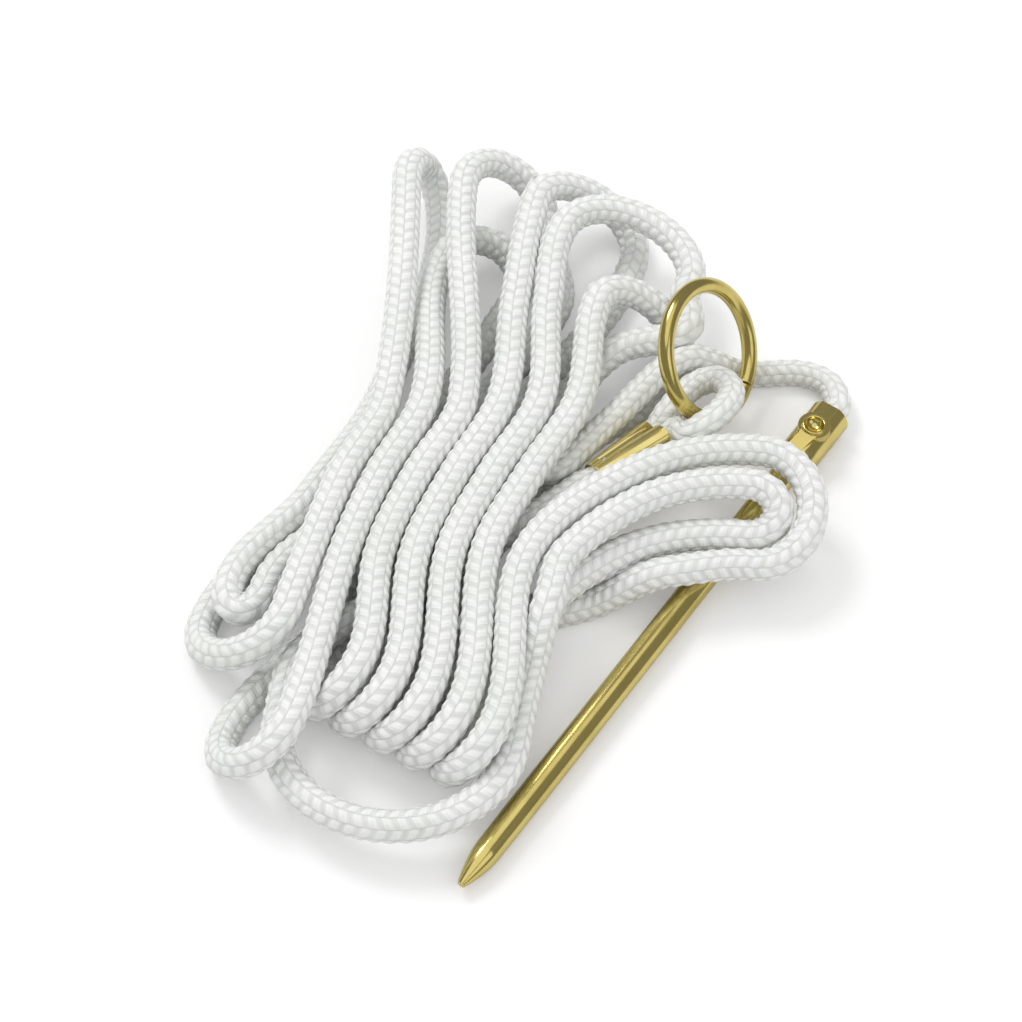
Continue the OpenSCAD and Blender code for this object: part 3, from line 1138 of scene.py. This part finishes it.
@dataclass
class Ferrule(MetalPiece):
    """The pressed sleeve: two lobes that part towards the front, each with its mouth."""

    layout: Layout
    name: str = "pressed_ferrule"
    node: str = "ferrule"
    slot: str = "ferrule_brass"
    body: str = CORD_BODY
    lobe_d: float = 4.6
    cord_hole_d: float = 3.9
    groove_d: float = 2.0
    groove_len: float = 11.5
    groove_sink: float = 0.62
    overrun: float = 1.0
    trim_merge: float = 0.0001
    lobe_sides: int = 48
    groove_sides: int = 24
    edges: Round = Round(0.14, 3, 28.0, weld=0.004)
    finish: BrassFinish = BrassFinish(
        "ferrule_brass_pressed", bright=(0.88, 0.74, 0.30, 1), dull=(0.78, 0.64, 0.22, 1),
        heading=40.0)

    def lobe(self, side: int, d: float, start: float, end: float) -> bpy.types.Object:
        """Adds a rod along one lobe's axis.

        Args:
            side: -1 for the right lobe, 1 for the left one.
            d: The rod's diameter.
            start: Where it starts, counted from the front.
            end: Where it ends.

        Returns:
            The rod.
        """
        made = self.rod(d / 2, start, end, self.lobe_sides)
        front = Vector((self.layout.ferrule_len, side * self.layout.lobe_gap / 2, 0))
        yaw = math.radians(side * self.layout.lobe_yaw)
        made.matrix_world = Matrix.Translation(front) @ Matrix.Rotation(yaw, 4, "Z")
        return self.applied(made)

    def trim(self, along: float, outwards: int) -> None:
        """Cuts the work square at a place on its axis.

        Args:
            along: The place.
            outwards: The direction along x in which it is cut away.
        """
        self.edit()
        bpy.ops.mesh.bisect(plane_co=(along, 0, 0), plane_no=(outwards, 0, 0), use_fill=True,
                            clear_outer=True, threshold=self.trim_merge)
        self.done()

    def groove(self, flip: int) -> bpy.types.Object:
        """Adds the rod that presses a groove from above or below.

        Args:
            flip: 1 for above, -1 for below.

        Returns:
            The rod.
        """
        end = self.layout.ferrule_len
        made = self.rod(self.groove_d / 2, end - self.groove_len, end + self.overrun,
                        self.groove_sides)
        sunk = self.lobe_d / 2 + self.groove_d / 2 - self.groove_sink
        made.location = (0, 0, flip * sunk)
        return self.applied(made)

    def build(self) -> bpy.types.Object:
        """Joins the lobes, presses the two grooves and opens the mouths.

        Returns:
            The ferrule.
        """
        lay, over = self.layout, self.overrun
        rear = -lay.ferrule_len - over
        self.work = self.lobe(-1, self.lobe_d, rear, over)
        self.combine(self.lobe(1, self.lobe_d, rear, over), Cut.JOIN)
        self.trim(0.0, -1)
        self.trim(lay.ferrule_len, 1)
        for flip in (-1, 1):
            self.combine(self.groove(flip), Cut.REMOVE)
        for side in (-1, 1):
            self.combine(self.lobe(side, self.cord_hole_d, -lay.grip_depth, over), Cut.REMOVE)
        mouth = self.rod(self.cord_hole_d / 2, -over, lay.grip_depth, self.lobe_sides)
        self.combine(mouth, Cut.REMOVE)
        self.soften()
        turns = (("Z", lay.ferrule_heading), ("X", -lay.ferrule_roll))
        return self.fit(placed(lay.on_ferrule(0.0), *turns))


@dataclass
class Spike(MetalPiece):
    """The spike: ground point, drawn shank, and the pressed end that grips the cord."""

    layout: Layout
    name: str = "brass_spike"
    node: str = "spike"
    slot: str = "spike_brass"
    body: str = CORD_BODY
    shank_d: float = 4.5
    neck_from: float = 14.0
    neck_d: float = 4.34
    point_len: float = 6.8
    point_steps: int = 12
    point_power: float = 1.6
    tip_d: float = 1.3
    end_reach: float = 0.01
    crimp_len: float = 16.0
    shoulder_len: float = 7.0
    shoulder_steps: int = 6
    shoulder_ease: float = 0.5
    crimp_w: float = 6.9
    crimp_h: float = 6.2
    socket_d: float = 4.6
    pit_setback: float = 5.6
    pit_d: float = 3.0
    pit_depth: float = 0.9
    rim_d: float = 4.3
    rim_wire: float = 0.7
    pad_h: float = 0.7
    pad_depth: float = 1.8
    pad_d: float = 5.5
    pad_edges: Round = Round(0.3, 4, 50.0)
    tail_from: float = 0.9
    tail_spread: float = 1.12
    tail_len: float = 8.2
    tail_side: float = 1.2
    tail_drop: float = 1.4
    round_sides: int = 48
    rim_sides: int = 16
    ball_rings: int = 24
    edges: Round = Round(0.12, 2, 30.0)
    finish: BrassFinish = BrassFinish("spike_brass_drawn", heading=55.05)

    def pit_place(self) -> tuple[float, float]:
        """Returns where the pit's middle lies along the spike, and how high the pad's top is."""
        return self.layout.spike_len - self.pit_setback, self.crimp_h / 2 + self.pad_h

    def point(self) -> None:
        """Draws the shank's near end out to a slimmer neck and the blunt, rounded point."""
        self.pick(Pick.FACES, lambda place: place.x < self.neck_from + self.end_reach)
        self.draw_out(self.point_len - self.neck_from, self.neck_from, self.neck_d / self.shank_d)
        step, size = self.point_len / self.point_steps, self.neck_d
        for k in range(1, self.point_steps + 1):
            slimmer = (k / self.point_steps) ** self.point_power
            thinner = self.neck_d + (self.tip_d - self.neck_d) * slimmer
            self.draw_out(-step, self.point_len - (k - 1) * step, thinner / size)
            size = thinner

    def shaft(self) -> None:
        """Draws the shank out to the point at one end and to the crimp at the other."""
        length = self.layout.spike_len
        shoulder = length - self.crimp_len
        self.work = self.rod(self.shank_d / 2, self.neck_from, shoulder)
        self.point()
        self.pick(Pick.FACES, lambda place: place.x > shoulder - self.end_reach)
        step, size = self.shoulder_len / self.shoulder_steps, self.shank_d
        for k in range(1, self.shoulder_steps + 1):
            t = k / self.shoulder_steps
            share = (1 - self.shoulder_ease) * t + self.shoulder_ease * smooth(t)
            bigger = self.shank_d + (self.crimp_w - self.shank_d) * share
            self.draw_out(step, shoulder + (k - 1) * step, bigger / size)
            size = bigger
        rest = self.crimp_len - self.shoulder_len
        self.draw_out(rest, length - rest, 1.0)
        self.draw_out(0.0, length, self.socket_d / self.crimp_w)
        self.draw_out(-self.layout.socket_depth, length, 1.0)
        for up in (-1, 1):
            self.pick(Pick.POINTS, lambda place: up * place.z > self.crimp_h / 2)
            bpy.ops.transform.resize(
                value=(1, 1, 0), center_override=(0, 0, up * self.crimp_h / 2))
        self.done()
        self.settled(self.work)

    def pad(self) -> bpy.types.Object:
        """Adds the raised pad round the pit, a round with a tail along the shank.

        Returns:
            The pad.
        """
        at, top = self.pit_place()
        half, spike = self.pad_d / 2, self.work
        select_none()
        bpy.ops.mesh.primitive_cylinder_add(
            vertices=self.round_sides, radius=half, depth=self.pad_depth,
            location=(at, 0, top - self.pad_depth / 2))
        self.work = self.taken()
        self.pick(Pick.POINTS, lambda place: place.x < at - self.tail_from * half)
        bpy.ops.transform.resize(value=(1, self.tail_spread, 1), center_override=(at, 0, 0))
        bpy.ops.transform.translate(value=(half - self.tail_len, self.tail_side, -self.tail_drop))
        self.done()
        self.modify("TRIANGULATE")
        self.bevel(self.pad_edges)
        made, self.work = self.work, spike
        return made

    def build(self) -> bpy.types.Object:
        """Shapes the spike and presses its pit.

        Returns:
            The spike.
        """
        at, top = self.pit_place()
        self.shaft()
        self.combine(self.pad(), Cut.JOIN)
        select_none()
        bpy.ops.mesh.primitive_torus_add(
            major_segments=self.round_sides, minor_segments=self.rim_sides,
            major_radius=(self.rim_d - self.rim_wire) / 2, minor_radius=self.rim_wire / 2,
            location=(at, 0, top))
        self.combine(self.taken(), Cut.JOIN)
        select_none()
        ball = (self.pit_d**2 / 4 + self.pit_depth**2) / (2 * self.pit_depth)
        bpy.ops.mesh.primitive_uv_sphere_add(
            segments=self.round_sides, ring_count=self.ball_rings, radius=ball,
            location=(at, 0, top + ball - self.pit_depth))
        self.combine(self.settled(self.taken()), Cut.REMOVE)
        self.soften()
        turns = (("Z", self.layout.spike_heading), ("Y", -self.layout.spike_tilt))
        return self.fit(placed(self.layout.on_spike(0.0), *turns))


# Setting


@dataclass(frozen=True)
class Lamp:
    """A soft square lamp that faces the object, with its place and side in metres."""

    name: str
    place: Place
    size: float
    watts: float

    def hang(self) -> None:
        """Adds the lamp to the scene."""
        data = bpy.data.lights.new(self.name, "AREA")
        data.energy, data.size = self.watts, self.size
        made = bpy.data.objects.new(self.name, data)
        made.location = self.place
        made.rotation_euler = (-Vector(self.place)).to_track_quat("-Z", "Y").to_euler()
        bpy.context.scene.collection.objects.link(made)


@dataclass
class Studio:
    """Pale floor, white surroundings, soft lamps and the camera."""

    floor_half: float = 3.0
    floor_colour: Colour = (0.80, 0.80, 0.80, 1)
    floor_lift: float = 0.2
    white: Colour = (1, 1, 1, 1)
    world_strength: float = 0.82
    wall_far: float = 2.0
    wall_height: float = 3.6
    wall_light: float = 0.26
    wall_sides: int = 48
    lens: float = 101.45
    sensor: float = 36.0
    camera_place: Place = (-0.0244, -0.2568, 0.3932)
    camera_tilt: float = 35.0
    lamps: tuple[Lamp, ...] = (
        Lamp("key", (-0.38, 0.5, 0.76), 0.32, 2.8), Lamp("fill", (0.6, -0.5, 0.6), 0.6, 0.8))

    def camera(self) -> None:
        """Makes the camera at the photograph's angle."""
        data = bpy.data.cameras.new("view")
        data.lens, data.sensor_width = self.lens, self.sensor
        made = bpy.data.objects.new("view", data)
        made.location = self.camera_place
        made.rotation_euler = (math.radians(self.camera_tilt), 0.0, 0.0)
        bpy.context.scene.collection.objects.link(made)
        bpy.context.scene.camera = made

    def world(self) -> None:
        """Makes white surroundings that light the object at a plain level."""
        made = bpy.data.worlds.new("white_room")
        bpy.context.scene.world = made
        made.use_nodes = True
        g = Graph(made.node_tree)
        ray = g.node("ShaderNodeLightPath")
        seen = (
            g.signal(ray, "Is Camera Ray") + g.signal(ray, "Is Glossy Ray")
            + g.signal(ray, "Is Transmission Ray")
        ).held()
        strength = self.world_strength + seen * (1.0 - self.world_strength)
        back = g.node("ShaderNodeBackground", inputs={"Color": self.white, "Strength": strength})
        g.close(back, "ShaderNodeOutputWorld")

    def floor(self) -> None:
        """Makes the pale floor, which keeps the object's shadow."""
        select_none()
        bpy.ops.mesh.primitive_plane_add(size=2 * self.floor_half, location=(0, 0, 0))
        made = bpy.context.active_object
        made.name = "floor"
        paint, g = new_material("pale_floor")
        lift = g.signal(g.node("ShaderNodeLightPath"), "Is Camera Ray") * self.floor_lift
        matt = g.node("ShaderNodeBsdfDiffuse", inputs={"Color": self.floor_colour})
        glow = g.node("ShaderNodeEmission", inputs={"Color": self.white, "Strength": lift})
        g.close(g.node("ShaderNodeAddShader", inputs={0: matt.outputs[0], 1: glow.outputs[0]}))
        made.data.materials.append(paint)

    def far_wall(self) -> None:
        """Makes the dim room round the table, which only the metal's reflections show."""
        select_none()
        bpy.ops.mesh.primitive_cylinder_add(
            vertices=self.wall_sides, radius=self.wall_far, depth=self.wall_height,
            end_fill_type="NOTHING", location=(0, 0, self.wall_height / 2))
        made = bpy.context.active_object
        made.name = "far_wall"
        paint, g = new_material("dim_room")
        glow = {"Color": self.white, "Strength": self.wall_light}
        g.close(g.node("ShaderNodeEmission", inputs=glow))
        made.data.materials.append(paint)
        made.visible_camera = made.visible_diffuse = made.visible_shadow = False

    def build(self) -> None:
        """Builds the whole setting."""
        bpy.context.scene.view_settings.view_transform = "Standard"
        self.camera()
        self.world()
        self.floor()
        self.far_wall()
        for lamp in self.lamps:
            lamp.hang()


def main() -> None:
    """Builds the setting, the cord and the metal, and reports each piece."""
    logging.basicConfig(level=logging.INFO, format="%(name)s: %(message)s")
    Studio().build()
    lay = Layout()
    pieces = [*Cord(lay).build(), Ring().build(), Ferrule(lay).build(), Spike(lay).build()]
    for made in pieces:
        LOG.info("%s: %d faces", made.name, len(made.data.polygons))


if __name__ == "__main__":
    main()
